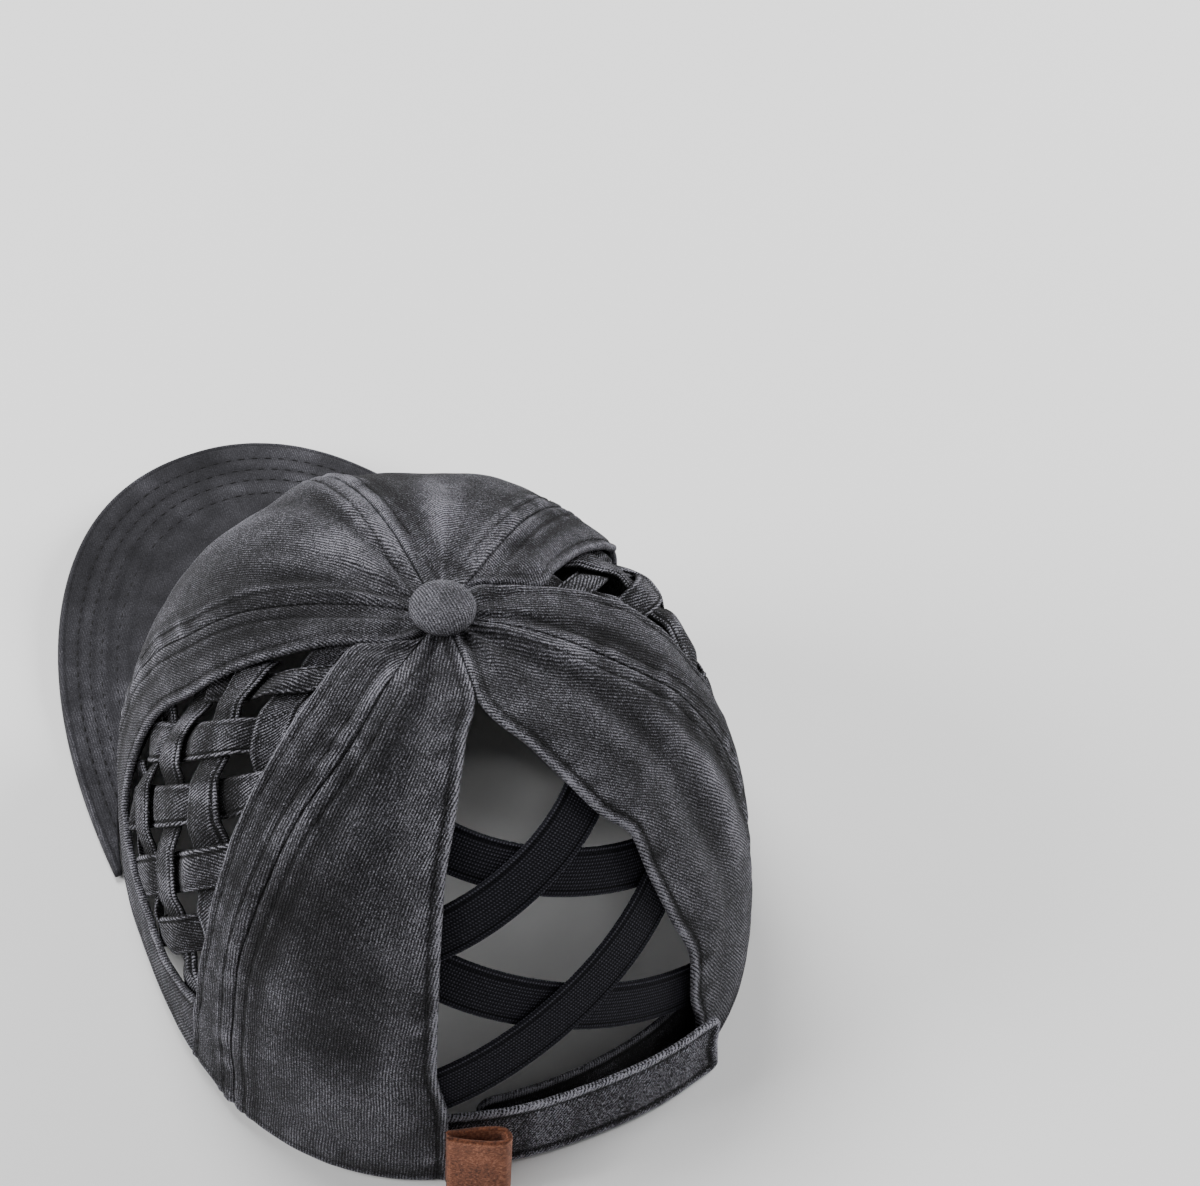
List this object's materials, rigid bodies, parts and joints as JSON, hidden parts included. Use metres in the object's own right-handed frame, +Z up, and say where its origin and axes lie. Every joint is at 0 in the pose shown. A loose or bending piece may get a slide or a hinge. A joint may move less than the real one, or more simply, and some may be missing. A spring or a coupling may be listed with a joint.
{
  "type": "ponytail baseball cap",
  "caption": "Washed cotton cap with a curved visor, woven open sides, and a hemmed back opening with crossing elastic bands, a closing strap and a leather loop.",
  "frame": {"origin": "on the floor, under the middle of the whole cap", "axes": "+Z up, -Y the way the wearer faces (the visor's side), +X the wearer's left"},
  "size_m": [0.17, 0.284, 0.1256],
  "materials": {
    "crown_cloth": "washed charcoal cotton twill, paler on seams and folds",
    "woven_strip": "folded cotton twill strips with worn pale edges",
    "button_cloth": "cloth covered, a little paler than the crown",
    "visor_cloth": "washed cotton, soft and even, stitched in rows",
    "elastic": "black ribbed woven elastic",
    "strap_cloth": "folded cotton twill with worn pale edges",
    "fastening_tape": "matte dark tape with a paler edge",
    "tag_leather": "matte brown suede leather, bare"
  },
  "bodies": {
    "root": {"front_panel_left": "crown_cloth", "front_panel_right": "crown_cloth", "back_panel_left": "crown_cloth", "back_panel_right": "crown_cloth", "side_front_left": "crown_cloth", "side_back_left": "crown_cloth", "weave_left_across_1": "woven_strip", "weave_left_down_1": "woven_strip", "weave_left_across_2": "woven_strip", "weave_left_down_2": "woven_strip", "weave_left_across_3": "woven_strip", "weave_left_down_3": "woven_strip", "weave_left_across_4": "woven_strip", "weave_left_down_4": "woven_strip", "weave_left_across_5": "woven_strip", "weave_left_down_5": "woven_strip", "side_front_right": "crown_cloth", "side_back_right": "crown_cloth", "weave_right_across_1": "woven_strip", "weave_right_down_1": "woven_strip", "weave_right_across_2": "woven_strip", "weave_right_down_2": "woven_strip", "weave_right_across_3": "woven_strip", "weave_right_down_3": "woven_strip", "weave_right_across_4": "woven_strip", "weave_right_down_4": "woven_strip", "weave_right_across_5": "woven_strip", "weave_right_down_5": "woven_strip", "button": "button_cloth", "visor": "visor_cloth", "band_outer_upper": "elastic", "band_outer_lower": "elastic", "band_inner_upper": "elastic", "band_inner_lower": "elastic", "strap_outer": "strap_cloth", "strap_inner": "fastening_tape", "tag": "tag_leather"}
  },
  "joints": []
}
